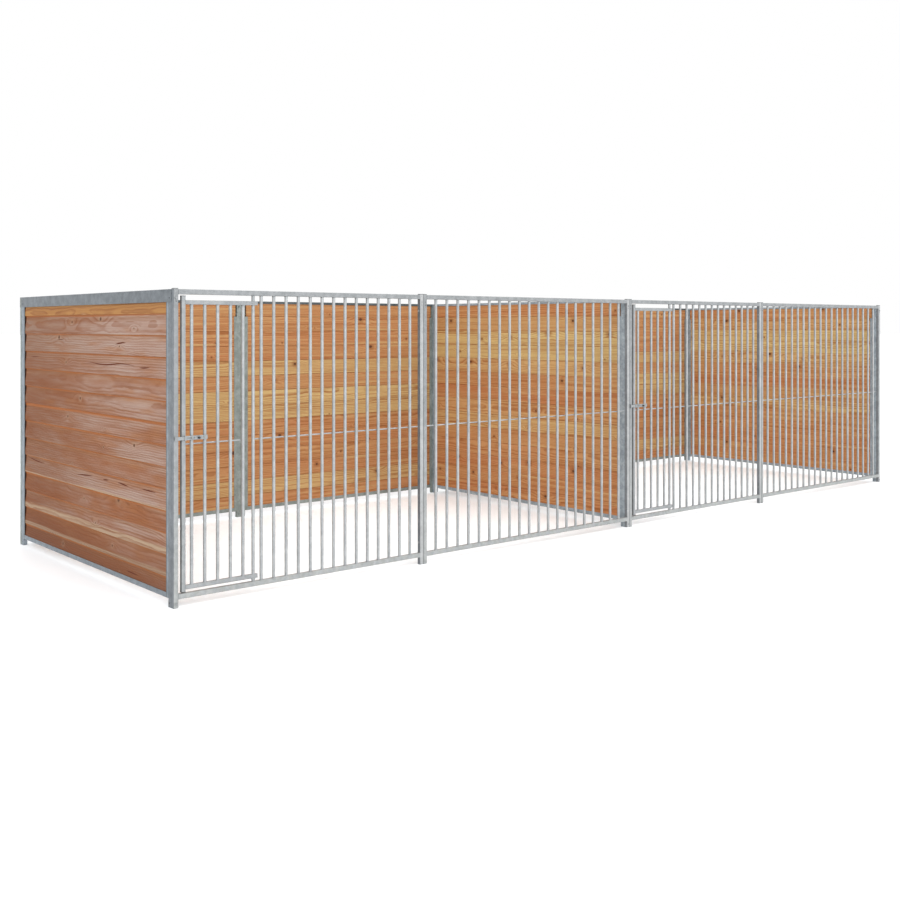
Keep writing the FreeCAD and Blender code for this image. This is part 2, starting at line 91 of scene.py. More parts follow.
# Boards in a wall, and sizes that the frame's parts have, in metres
BOARD_COUNT = 14
BOARD_LAP = 0.010
BOARD_GAP = 0.0003
STILE_TUBE = 0.040
STILE_LIP = 0.026
RAIL_FOOT = 0.050
DOOR_TUBE = 0.025

# What each board panel is called, the axis its boards run along and the way its outside faces
WALLS = {
    "left_side": ("Y", (-1, 0, 0)),
    "partition": ("Y", (1, 0, 0)),
    "right_side": ("Y", (1, 0, 0)),
    "left_back_narrow": ("X", (0, 1, 0)),
    "left_back_wide": ("X", (0, 1, 0)),
    "right_back_narrow": ("X", (0, 1, 0)),
    "right_back_wide": ("X", (0, 1, 0)),
}

# Bars in each upright grille, and the body that carries them
GRILLES = {
    "door_panel_bars": (14, "kennel"),
    "bar_panel_bars": (20, "kennel"),
    "hinge_bar": (1, "kennel"),
    "door_bars": (5, "{side}_door"),
}


def colour(tone, light_level):
    """Colour that a surface needs to show as these screen values, by the sRGB curve, in this light."""
    linear = []
    for value in tone:
        share = value / 255
        light = share / 12.92 if share <= 0.04045 else ((share + 0.055) / 1.055) ** 2.4
        linear.append(light / light_level)
    return (*linear, 1.0)


def palette(tones, light_level):
    return {name: colour(tone, light_level) for name, tone in tones.items()}


class Graph:
    """Short forms for adding shader nodes to one new material."""

    def __init__(self, name):
        self.material = bpy.data.materials.new(name)
        self.material.use_nodes = True
        self.nodes = self.material.node_tree.nodes
        self.links = self.material.node_tree.links
        self.nodes.clear()
        self.place = self.add("ShaderNodeTexCoord", {}).outputs["Object"]

    def add(self, kind, inputs, **options):
        """A node with its options set and its inputs given as numbers, colours or other nodes' outputs."""
        made = self.nodes.new(kind)
        for key, value in options.items():
            setattr(made, key, value)
        for key, value in inputs.items():
            if isinstance(value, bpy.types.NodeSocket):
                self.links.new(value, made.inputs[key])
            else:
                made.inputs[key].default_value = value
        return made

    def math(self, operation, first, second=0.0, third=0.0):
        return self.add("ShaderNodeMath", {0: first, 1: second, 2: third}, operation=operation).outputs[0]

    def product(self, *factors):
        result = factors[0]
        for factor in factors[1:]:
            result = self.math("MULTIPLY", result, factor)
        return result

    def other(self, share):
        """What is left of one."""
        return self.math("SUBTRACT", 1.0, share)

    def move(self, operation, first, second=(0.0, 0.0, 0.0)):
        return self.add("ShaderNodeVectorMath", {0: first, 1: second}, operation=operation).outputs

    def vector(self, x, y, z):
        return self.add("ShaderNodeCombineXYZ", {0: x, 1: y, 2: z}).outputs[0]

    def split(self, vector):
        return self.add("ShaderNodeSeparateXYZ", {0: vector}).outputs

    def blend(self, factor, first, second):
        inputs = {0: factor, 6: first, 7: second}
        return self.add("ShaderNodeMix", inputs, data_type="RGBA").outputs[2]

    def fade(self, value, low, high, start=0.0, end=1.0):
        """Smooth step from start to end while a value goes from low to high."""
        inputs = {0: value, 1: low, 2: high, 3: start, 4: end}
        return self.add("ShaderNodeMapRange", inputs, interpolation_type="SMOOTHSTEP").outputs[0]

    def steps(self, position, values):
        """One of several colours or numbers, picked by a position from 0 to 1."""
        made = self.add("ShaderNodeValToRGB", {0: position})
        made.color_ramp.interpolation = "CONSTANT"
        elements = made.color_ramp.elements
        while len(elements) < len(values):
            elements.new(1.0)
        for index, (element, value) in enumerate(zip(elements, values)):
            element.position = index / len(values)
            element.color = value if isinstance(value, tuple) else (value, value, value, 1.0)
        return made.outputs[0]

    def noise(self, vector, scale, detail=2.0, roughness=0.5):
        inputs = {"Vector": vector, "Scale": scale, "Detail": detail, "Roughness": roughness}
        return self.add("ShaderNodeTexNoise", inputs).outputs[0]

    def chance(self, number):
        """Three random numbers from 0 to 1 that belong to a number."""
        made = self.add("ShaderNodeTexWhiteNoise", {"W": number}, noise_dimensions="1D")
        return self.split(made.outputs["Color"])

    def surface(self, tone, roughness, height, depth, **constants):
        """Closes the material with a principled shader and a bump of a given depth in metres."""
        bump = self.add("ShaderNodeBump", {"Height": height, "Distance": depth})
        inputs = {"Base Color": tone, "Roughness": roughness, "Normal": bump.outputs[0]}
        shader = self.add("ShaderNodeBsdfPrincipled", inputs)
        for key, value in constants.items():
            shader.inputs[key.replace("_", " ")].default_value = value
        self.add("ShaderNodeOutputMaterial", {"Surface": shader.outputs[0]})
        return self.material


# Steel: its darkest and lightest tones as they show on screen

FRONT_STEEL = {"dark": (166, 170, 172), "light": (198, 201, 202)}
FRAME_STEEL = {"dark": (156, 160, 162), "light": (190, 193, 195)}
# Painted light: the front's zinc brighter near the pale ground
GROUND_LIT_STEEL = {"dark": (177, 181, 180), "light": (210, 213, 212)}
BRIGHT_STEEL = {"dark": (190, 192, 192), "light": (216, 218, 218)}
# Painted shade on the front posts' left faces
SHADED_STEEL = {"dark": (118, 124, 129), "light": (150, 155, 159)}
# Painted shade: the left wall's tube beside the front post, and the corner post's left face
TUBE_SHADE_STEEL = {"dark": (100, 107, 113), "light": (134, 140, 145)}
STILE_STEEL = {"dark": (112, 122, 130), "light": (152, 162, 170)}
CAPPING_STEEL = {"dark": (93, 100, 105), "light": (129, 135, 140)}
BACK_STEEL = {"dark": (126, 135, 130), "light": (164, 172, 168)}
INNER_STEEL = {"dark": (112, 123, 130), "light": (150, 161, 168)}
# Painted shade: the back cappings' inner faces and the edges of the left wall's lips
PAINTED_SHADE_STEEL = {"dark": (64, 78, 80), "light": (93, 100, 105)}
# Painted shade in the seams between neighbouring posts
SEAM_SHADE_STEEL = (62, 64, 66)

# Pattern of the zinc: marks per metre, the scale of its long runs, how much each adds to the mottle, and the
# mottle that shows darkest and lightest
SPANGLES_PER_METRE = 60.0
CLOUDS_PER_METRE = 16.0
SPECKS_PER_METRE = 380.0
RUN_SCALE = (30.0, 30.0, 1.4)
SPANGLE_SHARE = 0.12
SPECK_SHARE = 0.08
CLOUD_AND_RUN_SHARE = 0.85
FRONT_RUNS = 0.30
WALL_RUNS = 0.10
ZINC_MOTTLE = (0.33, 0.75)

# Surface of the zinc, and what its crystals add to roughness and height
ZINC_ROUGHNESS = 0.42
SPANGLE_ROUGHNESS = 0.10
SPANGLE_HEIGHT = 0.3
ZINC_BUMP = 0.0004
ZINC_METAL = 0.20

# How squarely a face looks in a direction, from where it begins to count to where it counts in full
FACING = (0.5, 0.9)

# Widths in metres: the painted shade in the seam beside a post, the soft edge of the painted shade on a
# stile's tube, and the painted shade along the edge of its lip with the margin that its end face needs
SEAM_SHADE_WIDTH = 0.0048
TUBE_SHADE_EDGE = 0.002
LIP_SHADE_WIDTH = 0.008
LIP_MARGIN = 0.001

# How strongly the painted shade along the lip's edge shows, and how high in metres the pale ground's painted
# light brightens the front
LIP_SHADE_STRENGTH = 0.8
GROUND_GLOW = 1.3


class ZincGraph(Graph):
    """Graph for dull zinc: faint crystals, cloudy patches and a share of long runs."""

    def __init__(self, name, run_share):
        super().__init__(name)
        crystal = self.add("ShaderNodeTexVoronoi", {"Vector": self.place, "Scale": SPANGLES_PER_METRE})
        self.spangle = self.split(crystal.outputs["Color"])[0]
        self.speck = self.noise(self.place, SPECKS_PER_METRE)
        cloud = self.noise(self.place, CLOUDS_PER_METRE, detail=5.0, roughness=0.65)
        runs = self.noise(self.move("MULTIPLY", self.place, RUN_SCALE)[0], 1.0, detail=3.0)
        clouds = self.product(cloud, CLOUD_AND_RUN_SHARE - run_share)
        mottle = self.math("MULTIPLY_ADD", self.spangle, SPANGLE_SHARE, clouds)
        mottle = self.math("MULTIPLY_ADD", runs, run_share, mottle)
        mottle = self.math("MULTIPLY_ADD", self.speck, SPECK_SHARE, mottle)
        self.mottle = self.fade(mottle, *ZINC_MOTTLE)

    def tone(self, tones, light_level):
        """Mottled tone between two given ones."""
        shown = palette(tones, light_level)
        return self.blend(self.mottle, shown["dark"], shown["light"])

    def facing(self, direction):
        """Mask of the faces that look in a direction."""
        normal = self.add("ShaderNodeNewGeometry", {}).outputs["True Normal"]
        return self.fade(self.move("DOT_PRODUCT", normal, direction)["Value"], *FACING)

    def close(self, tone):
        roughness = self.math("MULTIPLY_ADD", self.spangle, SPANGLE_ROUGHNESS, ZINC_ROUGHNESS)
        height = self.math("MULTIPLY_ADD", self.spangle, SPANGLE_HEIGHT, self.speck)
        return self.surface(tone, roughness, height, ZINC_BUMP, Metallic=ZINC_METAL)


def zinc(name, tones, light_level, run_share):
    """Zinc with the same tones all over."""
    g = ZincGraph(name, run_share)
    return g.close(g.tone(tones, light_level))


def back_capping_zinc():
    """Capping of the back wall, with painted shade on the side that looks into the run."""
    g = ZincGraph("back_capping_steel", WALL_RUNS)
    outside = g.tone(CAPPING_STEEL, SIDE_LIGHT)
    inside = g.tone(PAINTED_SHADE_STEEL, RUN_BACK_LIGHT)
    return g.close(g.blend(g.facing((0, -1, 0)), outside, inside))


def left_stile_zinc():
    """Frame of the left wall: light lips with painted shade along their edges, and painted shade on the tube
    beside the front post.
    """
    g = ZincGraph("stile_steel", WALL_RUNS)
    low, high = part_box("left_side_frame")
    y = g.split(g.place)[1]
    # Painted shade on the tube beside the front post
    tube = g.fade(y, low.y + STILE_TUBE, low.y + STILE_TUBE - TUBE_SHADE_EDGE)
    tone = g.blend(tube, g.tone(STILE_STEEL, SIDE_LIGHT), g.tone(TUBE_SHADE_STEEL, SIDE_LIGHT))
    # Painted shade along the lips' edges next to the boards
    from_end = g.math("MINIMUM", g.math("SUBTRACT", y, low.y), g.math("SUBTRACT", high.y, y))
    edge_middle = STILE_TUBE + STILE_LIP - LIP_SHADE_WIDTH / 2
    edge = g.math("COMPARE", from_end, edge_middle, LIP_SHADE_WIDTH / 2 + LIP_MARGIN)
    return g.close(g.blend(g.product(edge, LIP_SHADE_STRENGTH), tone, g.tone(PAINTED_SHADE_STEEL, SIDE_LIGHT)))


def panel_frame_zinc(node):
    """Posts and rails of a front panel: painted light from the pale ground near the ground, a brighter right
    post, painted shade on left faces, and painted shade in the seams beside other posts."""
    g = ZincGraph(node + "_steel", FRONT_RUNS)
    low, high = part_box(node)
    post = high.y - low.y
    x, _, z = g.split(g.place)
    # Painted light from the pale ground near the foot of the front
    near_ground = g.fade(z, GROUND_GLOW, 0.0)
    tone = g.blend(near_ground, g.tone(FRAME_STEEL, FRONT_LIGHT), g.tone(GROUND_LIT_STEEL, FRONT_LIGHT))
    right_post = g.math("GREATER_THAN", x, high.x - post)
    tone = g.blend(right_post, tone, g.tone(BRIGHT_STEEL, FRONT_LIGHT))
    # Painted shade in the seams beside neighbouring posts
    joint = colour(SEAM_SHADE_STEEL, FRONT_LIGHT)
    shaded = TUBE_SHADE_STEEL
    if low.x - post > cad_box[0].x:
        shaded = SHADED_STEEL
        tone = g.blend(g.fade(x, low.x + SEAM_SHADE_WIDTH, low.x), tone, joint)
    if high.x + post < cad_box[1].x:
        tone = g.blend(g.fade(x, high.x - SEAM_SHADE_WIDTH, high.x), tone, joint)
    # Painted shade on the faces that look to the left
    return g.close(g.blend(g.facing((-1, 0, 0)), tone, g.tone(shaded, SIDE_LIGHT)))


# Plastic: its tones as they show on screen, its pattern and its surface

BLACK_PLASTIC = {"tone": (24, 24, 26), "speck": (40, 40, 42)}
GREY_PLASTIC = {"tone": (128, 130, 132), "speck": (160, 162, 164)}
PLASTIC_GRAINS_PER_METRE = 900.0
PLASTIC_CLOUDS_PER_METRE = 25.0
PLASTIC_CLOUD_SHARE = 0.6
PLASTIC_GRAIN_SHARE = 0.4
PLASTIC_MOTTLE = (0.3, 0.7)
PLASTIC_ROUGHNESS = 0.45
GRAIN_ROUGHNESS = 0.25
PLASTIC_BUMP = 0.0004


def moulded_plastic(name, tones):
    """Matt moulding with a fine grain."""
    g = Graph(name)
    grain = g.noise(g.place, PLASTIC_GRAINS_PER_METRE, detail=3.0)
    cloud = g.noise(g.place, PLASTIC_CLOUDS_PER_METRE)
    mixed = g.math("MULTIPLY_ADD", cloud, PLASTIC_CLOUD_SHARE, g.product(grain, PLASTIC_GRAIN_SHARE))
    tone = g.blend(g.fade(mixed, *PLASTIC_MOTTLE), tones["tone"], tones["speck"])
    roughness = g.math("MULTIPLY_ADD", grain, GRAIN_ROUGHNESS, PLASTIC_ROUGHNESS)
    return g.surface(tone, roughness, grain, PLASTIC_BUMP)


# Wood: how its tones show on screen, planed inside the runs and weathered outside

PLANED = {
    "red": (201, 136, 90),
    "yellow": (218, 186, 126),
    "late": (158, 92, 46),
    "knot_ring": (148, 86, 44),
    "knot": (88, 50, 30),
}
WEATHERED = {
    "pale": (190, 164, 150),
    "red": (162, 100, 60),
    "fresh": (190, 138, 86),
    "top": (190, 136, 74),
    "blotch": (180, 122, 76),
    "sapwood": (200, 174, 144),
    "sheltered": (186, 112, 60),
    "damp": (112, 80, 66),
    "late": (142, 84, 50),
    "knot": (98, 58, 38),
    "crack": (98, 36, 4),
    # The gap tone is painted shadow in the slits behind the stiles' lips
    "gap": (66, 30, 10),
}

# How yellow each board is on the inside, from the ground up
BACK_YELLOW = (0.10, 0.70, 0.10, 0.12, 0.05, 0.05, 0.90, 0.90, 0.25, 0.80, 0.05, 0.10, 0.18, 0.20)
SIDE_YELLOW = (0.0, 0.08, 0.02, 0.18, 0.22, 0.70, 0.38, 0.0, 0.20, 0.65, 1.15, 1.15, 0.55, 0.10)

# How red each board of the left side is on the outside, how much of its height is sapwood, and the height
# in metres that the board above shelters, from the ground up; the other walls have the same boards in
# another order
OUTSIDE_RED = (1.30, 1.15, 0.50, 0.90, 0.38, 0.70, 0.50, 0.67, 0.62, 0.85, 0.25, 0.05, 0.05, 0.25)
SAPWOOD_SHARE = (0.0, 0.19, 0.32, 0.0, 0.05, 0.0, 0.0, 0.0, 0.0, 0.0, 0.0, 0.0, 0.0, 0.0)
SHELTER = (0.006, 0.003, 0.004, 0.007, 0.004, 0.003, 0.006, 0.014, 0.004, 0.005, 0.004, 0.003, 0.004, 0.0)
ROWS_TURNED = 5

# Steps that give each wall and each face its own random numbers, and how far in metres these shift a grain
WALL_STEP = 53.0
OUTSIDE_STEP = 31.7
GRAIN_SHIFT = 20.0

# Noise drawn out along a board: waves per metre along it and up it, and how finely they are broken
FIBRE = (2.2, 190.0, 3.0)
STREAK = (0.9, 40.0, 2.0)
PATCH = (1.1, 7.0, 2.0)
BLOTCH = (2.6, 16.0, 3.0)
MOTTLE = (5.0, 30.0, 3.0)
SLOW_WAVE = (1.4, 9.0, 3.0)
QUICK_WAVE = (8.0, 26.0, 2.0)

# Mottle that leaves a board as red as its number, and share of the grain's contrast that the weather leaves
MOTTLE_LEVEL = 0.81
OUTSIDE_GRAIN = 0.88

# How high rain splashes up from the ground, and how ragged sapwood and sheltered bands are, in metres
SPLASH_HEIGHT = 0.38
SAPWOOD_RAG = 0.030
SHELTER_RAG = 0.016

# How far in metres the shadow behind a stile's lip reaches in from a board's end, just below the board
# above, and at which share of the board's height it reaches so far
LIP_SHADOW = 0.026
LIP_SHADOW_RISE = 0.75

# Painted shade: how much of each colour is left at the far end of a wall, where the boards are drawn darker
# outside
BACKWARD_SHADE_TINT = (0.68, 0.61, 0.54)

# Marks on the boards: where each begins and where it is full, in the noise, share or metres that it
# follows, and how strongly it then shows
MARKS = {
    "late_rise": (0.30, 0.85, 1.0),
    "late_fall": (1.0, 0.90, 1.0),
    "fibre": (0.35, 0.75, 0.30),
    "streak": (0.50, 0.72, 0.45),
    "yellow_streak": (0.45, 0.28, 0.40),
    "yellow_patch": (0.35, 0.75, 0.30),
    "joint": (0.005, 0.001, 0.6),
    "knot": (1.15, 0.6, 0.9),
    "knot_ring": (3.4, 1.0, 1.0),
    "knot_bend": (5.5, 0.0, 1.0),
    "red_patch": (0.3, 0.7, 0.65),
    "red_backward": (0.2, 1.0, 0.40),
    "red": (-0.1, 1.5, 1.0),
    "backward_shade": (0.2, 1.0, 1.0),
    "near_lap": (0.55, 1.0, 0.30),
    "blotch": (0.50, 0.72, 0.50),
    "bleached_streak": (0.55, 0.75, 0.35),
    "bleached_patch": (0.6, 0.4, 1.0),
    "sapwood": (0.003, -0.006, 0.85),
    "splash": (SPLASH_HEIGHT, 0.0, 0.62),
    "lip_shadow": (0.003, -0.002, 1.0),
    "sheltered": (-0.004, 0.009, 0.9),
    "crack": (-0.0005, 0.0008, 1.0),
    "split": (0.58, 0.72, 1.0),
}

# Drying cracks of the left side: board from the ground up, start and length in metres from the front end,
# height on the board as a share and width in metres
LEFT_CRACKS = (
    (10, 0.44, 0.74, 0.52, 0.0085),
    (10, 0.24, 0.15, 0.47, 0.0080),
    (10, 2.05, 0.16, 0.75, 0.0050),
    (11, 0.58, 0.16, 0.51, 0.0095),
    (11, 1.58, 0.14, 0.66, 0.0055),
    (4, 0.16, 0.20, 0.64, 0.0080),
    (4, 0.54, 0.17, 0.64, 0.0090),
    (4, 0.84, 0.09, 0.66, 0.0080),
    (4, 1.08, 0.28, 0.72, 0.0085),
    (4, 1.94, 0.34, 0.78, 0.0075),
    (0, 0.40, 0.18, 0.50, 0.0070),
)

# How often these cracks wave, and how far in metres
CRACK_WAVES_PER_METRE = 2.4
CRACK_WAVE = 0.050

# Cracks of the other walls, by chance: how they wave, how far up the boards they are spread, how often they
# open and the lane of noise that opens them, the share of boards without any, and their width in metres
SPLIT_WAVES_PER_METRE = 2.0
SPLIT_WAVE = 0.06
SPLIT_SPREAD = 0.05
SPLITS_PER_METRE = 2.6
SPLIT_LANE = 5.0
SOUND_SHARE = 0.5
SPLIT_WIDTH = 0.0035

# Knots lie scattered in cells of this length and height, each board some rows of cells above the last, and
# are a little longer than high; the grain flows round them in long eyes
KNOT_STRETCH = 0.50
KNOT_BREADTH = 0.125
KNOT_ROW_STEP = 3.0
KNOT_SCATTER = 0.9
KNOT_SLENDER = 0.8
KNOT_FLOW = 0.4

# Share of the cells that hold a knot, on each kind of face
BACK_KNOTS = 0.32
SIDE_KNOTS = 0.50
OUTSIDE_KNOTS = 0.30

# Knots: least radius, what chance adds to it and how ragged it is, in metres, and how strongly the rings
# round them show
KNOT_LEAST = 0.004
KNOT_SPREAD = 0.012
KNOT_RAG = 0.006
KNOT_RAGS_PER_METRE = 130.0
INSIDE_KNOT_RING = 0.55
OUTSIDE_KNOT_RING = 0.20

# Where a board lay in its log: the board heights over which its pith may lie, least and greatest distance
# of its face from the pith in metres, and how far the log's own waves and taper move it
PITH_SPREAD = 3.0
PITH_NEAR = 0.020
PITH_FAR = 0.100
LOG_WAVE = 0.036
LOG_WAVES_PER_METRE = 2.2
LOG_TAPER = 0.008

# Rings are counted across the log; noise and knots bend them by so much, in metres
RINGS_PER_METRE = 85.0
OUTSIDE_RINGS_PER_METRE = 75.0
SLOW_BEND = 0.016
QUICK_BEND = 0.008
KNOT_BEND = 0.024

# Streaks that the latewood follows, and how strongly it shows, least and most
LATE_STREAKS = (0.25, 0.70)
LATE_STRENGTH = (0.25, 0.75)

# Surface of the boards, and what the fibres add to height and roughness
FIBRE_HEIGHT = 0.5
FIBRE_ROUGHNESS = 0.2
BOARD_ROUGHNESS = 0.62
BOARD_BUMP = 0.0007
BOARD_GLOSS = 0.15


class BoardGraph(Graph):
    """Graph for the boards of one wall, with the place of a point on its own board."""

    def __init__(self, wall, along, outward, index):
        super().__init__(wall + "_wood")
        self.turn = ROWS_TURNED * index % BOARD_COUNT
        low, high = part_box(wall + "_boards")
        self.pitch = (high.z - low.z + BOARD_GAP) / BOARD_COUNT
        axes = self.split(self.place)
        run_axis = "XYZ".index(along)
        self.along = self.math("SUBTRACT", axes[run_axis], low[run_axis])
        self.length = high[run_axis] - low[run_axis]
        middle = (low + high) / 2
        reach = self.move("DOT_PRODUCT", self.place, outward)["Value"]
        self.outside = self.math("GREATER_THAN", reach, middle.dot(Vector(outward)))
        rise = self.math("MULTIPLY_ADD", self.outside, BOARD_LAP, self.math("SUBTRACT", axes[2], low.z))
        self.row = self.math("FLOOR", self.math("DIVIDE", rise, self.pitch))
        self.up = self.math("SUBTRACT", rise, self.product(self.row, self.pitch))
        self.up_share = self.math("DIVIDE", self.up, self.pitch)
        self.wall_share = self.math("DIVIDE", self.math("ADD", self.row, 0.5), BOARD_COUNT)
        board = self.math("ADD", self.row, WALL_STEP * index)
        self.key = self.math("MULTIPLY_ADD", self.outside, OUTSIDE_STEP, board)
        self.first, self.second, self.third = self.chance(self.key)
        self.shifted = self.math("MULTIPLY_ADD", self.first, GRAIN_SHIFT, self.along)
        self.calm = self.by_face(1.0, OUTSIDE_GRAIN)
        # The side walls' planed wood takes the back's tones drawn brighter: painted light against the shade
        # inside a run
        self.planed = palette(PLANED, RUN_SIDE_LIGHT if along == "Y" else RUN_BACK_LIGHT)
        self.weathered = palette(WEATHERED, OUTSIDE_BOARD_LIGHT)

    def turned(self, values):
        """Values of the boards in this wall's own order."""
        return values[self.turn:] + values[:self.turn]

    def by_face(self, inside, outside):
        """A number that differs between the faces of a board."""
        return self.math("MULTIPLY_ADD", self.outside, outside - inside, inside)

    def either(self, name):
        """A tone that both faces of a board have."""
        return self.blend(self.outside, self.planed[name], self.weathered[name])

    def mark(self, name, measure):
        """How strongly a mark shows where what it follows has this measure."""
        begin, full, strength = MARKS[name]
        return self.fade(measure, begin, full, 0.0, strength)

    def stretched(self, along_scale, up_scale, detail):
        """Noise drawn out along the board, different on each board."""
        along = self.product(self.shifted, along_scale)
        up = self.product(self.up, up_scale)
        return self.noise(self.vector(along, up, self.key), 1.0, detail)

    def drift(self, along, waves_per_metre, detail, lane=0.0):
        """Noise that changes only along the board, different on each board and in each lane."""
        return self.noise(self.vector(self.product(along, waves_per_metre), self.key, lane), 1.0, detail)

    def knot_spots(self):
        """Way from the middle of the nearest knot, in metres, and random numbers that belong to it."""
        cells_up = self.math("DIVIDE", self.up, KNOT_BREADTH)
        lane = self.math("MULTIPLY_ADD", self.row, KNOT_ROW_STEP, cells_up)
        cell = self.vector(self.math("DIVIDE", self.shifted, KNOT_STRETCH), lane, 0.0)
        inputs = {"Vector": cell, "Scale": 1.0, "Randomness": KNOT_SCATTER}
        spots = self.add("ShaderNodeTexVoronoi", inputs, voronoi_dimensions="2D")
        away = self.move("SUBTRACT", cell, spots.outputs["Position"])[0]
        way = self.move("MULTIPLY", away, (KNOT_STRETCH * KNOT_SLENDER, KNOT_BREADTH, 0.0))[0]
        return way, self.split(spots.outputs["Color"])

    def knots(self, inside_share):
        """Masks of the knots, of a ring close round each, and of the stretch where the grain bends."""
        way, lot = self.knot_spots()
        present = self.math("LESS_THAN", lot[0], self.by_face(inside_share, OUTSIDE_KNOTS))
        radius = self.math("MULTIPLY_ADD", self.math("POWER", lot[1], 2.0), KNOT_SPREAD, KNOT_LEAST)
        rag = self.math("SUBTRACT", self.noise(self.place, KNOT_RAGS_PER_METRE), 0.5)
        ragged = self.math("MULTIPLY_ADD", rag, KNOT_RAG, self.move("LENGTH", way)["Value"])
        reach = self.math("DIVIDE", ragged, radius)
        flow = self.move("LENGTH", self.move("MULTIPLY", way, (KNOT_FLOW, 1.0, 0.0))[0])["Value"]
        knot = self.product(present, self.mark("knot", reach))
        ring = self.product(present, self.mark("knot_ring", reach))
        bend = self.product(present, self.mark("knot_bend", self.math("DIVIDE", flow, radius)))
        return knot, ring, bend

    def growth(self, bend):
        """Latewood lines: arches and eyes where the pith lay behind the board, straight lines elsewhere."""
        aside = self.math("MULTIPLY_ADD", self.second, PITH_SPREAD * self.pitch, -self.pitch)
        across = self.math("SUBTRACT", self.up, aside)
        depth = self.math("MULTIPLY_ADD", self.third, PITH_FAR - PITH_NEAR, PITH_NEAR)
        depth = self.math("MULTIPLY_ADD", self.along, LOG_TAPER, depth)
        wave = self.math("SUBTRACT", self.drift(self.shifted, LOG_WAVES_PER_METRE, detail=2.0), 0.5)
        depth = self.math("MULTIPLY_ADD", wave, LOG_WAVE, depth)
        radius = self.move("LENGTH", self.vector(across, depth, 0.0))["Value"]
        radius = self.math("MULTIPLY_ADD", self.stretched(*SLOW_WAVE), SLOW_BEND, radius)
        radius = self.math("MULTIPLY_ADD", self.stretched(*QUICK_WAVE), QUICK_BEND, radius)
        radius = self.math("MULTIPLY_ADD", self.product(bend, self.calm), KNOT_BEND, radius)
        rings = self.by_face(RINGS_PER_METRE, OUTSIDE_RINGS_PER_METRE)
        ring = self.math("FRACT", self.product(radius, rings))
        return self.product(self.mark("late_rise", ring), self.mark("late_fall", ring))

    def inside_tone(self, yellows, patch):
        """Fresh boards in steps of red and yellow, with a thin dark line at each joint."""
        tones = []
        for yellow in yellows:
            pairs = zip(self.planed["red"], self.planed["yellow"])
            tones.append(tuple(red + (gold - red) * yellow for red, gold in pairs))
        tone = self.steps(self.wall_share, tones)
        tone = self.blend(self.mark("yellow_patch", patch), tone, self.planed["yellow"])
        from_joint = self.math("MINIMUM", self.up, self.math("SUBTRACT", self.pitch, self.up))
        return self.blend(self.mark("joint", from_joint), tone, self.planed["knot_ring"])

    def redness(self, patch, backward):
        """How red the weathered wood is: by board, in patches, and more towards the wall's far end."""
        red = self.steps(self.wall_share, self.turned(OUTSIDE_RED))
        red = self.math("ADD", red, self.mark("red_patch", patch))
        red = self.math("ADD", red, self.mark("red_backward", backward))
        mottle = self.math("SUBTRACT", self.stretched(*MOTTLE), MOTTLE_LEVEL)
        return self.mark("red", self.math("ADD", red, mottle))

    def open_tone(self, patch, streak):
        """Weathered wood, pale to red, fresher and partly in painted shade near the board above, and in
        painted shade towards the far end.
        """
        backward = self.math("DIVIDE", self.along, self.length)
        tone = self.blend(self.redness(patch, backward), self.weathered["pale"], self.weathered["red"])
        # Near the board above: fresher wood, partly as painted shade under its overhang
        tone = self.blend(self.mark("near_lap", self.up_share), tone, self.weathered["fresh"])
        tone = self.blend(self.mark("blotch", self.stretched(*BLOTCH)), tone, self.weathered["blotch"])
        # Painted shade towards the wall's far end
        darker = self.move("MULTIPLY", tone, BACKWARD_SHADE_TINT)[0]
        tone = self.blend(self.mark("backward_shade", backward), tone, darker)
        bleached = self.product(self.mark("bleached_streak", streak), self.mark("bleached_patch", patch))
        return self.blend(bleached, tone, self.weathered["sapwood"])

    def sapwood(self, patch):
        """Mask of the ragged band of sapwood along the lower edge of some boards."""
        breadth = self.product(self.steps(self.wall_share, self.turned(SAPWOOD_SHARE)), self.pitch)
        ragged = self.math("MULTIPLY_ADD", self.math("SUBTRACT", patch, 0.5), SAPWOOD_RAG, self.up)
        return self.mark("sapwood", self.math("SUBTRACT", ragged, breadth))

    def lip_shadow(self):
        """Mask of the shadow behind the stiles' lips, which widens up each board."""
        from_end = self.math("MINIMUM", self.along, self.math("SUBTRACT", self.length, self.along))
        set_back = self.fade(self.up_share, 0.0, LIP_SHADOW_RISE, 0.0, LIP_SHADOW)
        return self.mark("lip_shadow", self.math("SUBTRACT", from_end, set_back))

    def outside_tone(self, patch, streak):
        """Weathered boards: some with sapwood, splashed near the ground, a fresh one at the top, and all in
        shadow behind the stiles' lips."""
        tone = self.open_tone(patch, streak)
        tone = self.blend(self.sapwood(patch), tone, self.weathered["sapwood"])
        tone = self.blend(self.mark("splash", self.split(self.place)[2]), tone, self.weathered["damp"])
        top = self.math("GREATER_THAN", self.row, BOARD_COUNT - 1.5)
        tone = self.blend(top, tone, self.blend(patch, self.weathered["top"], self.weathered["fresh"]))
        return self.blend(self.lip_shadow(), tone, self.weathered["gap"])

    def sheltered(self, patch):
        """Mask of the band that the board above keeps from the weather."""
        breadth = self.steps(self.wall_share, self.turned(SHELTER))
        ragged = self.math("MULTIPLY_ADD", patch, SHELTER_RAG, self.math("SUBTRACT", self.up, self.pitch))
        return self.product(self.outside, self.mark("sheltered", self.math("ADD", ragged, breadth)))

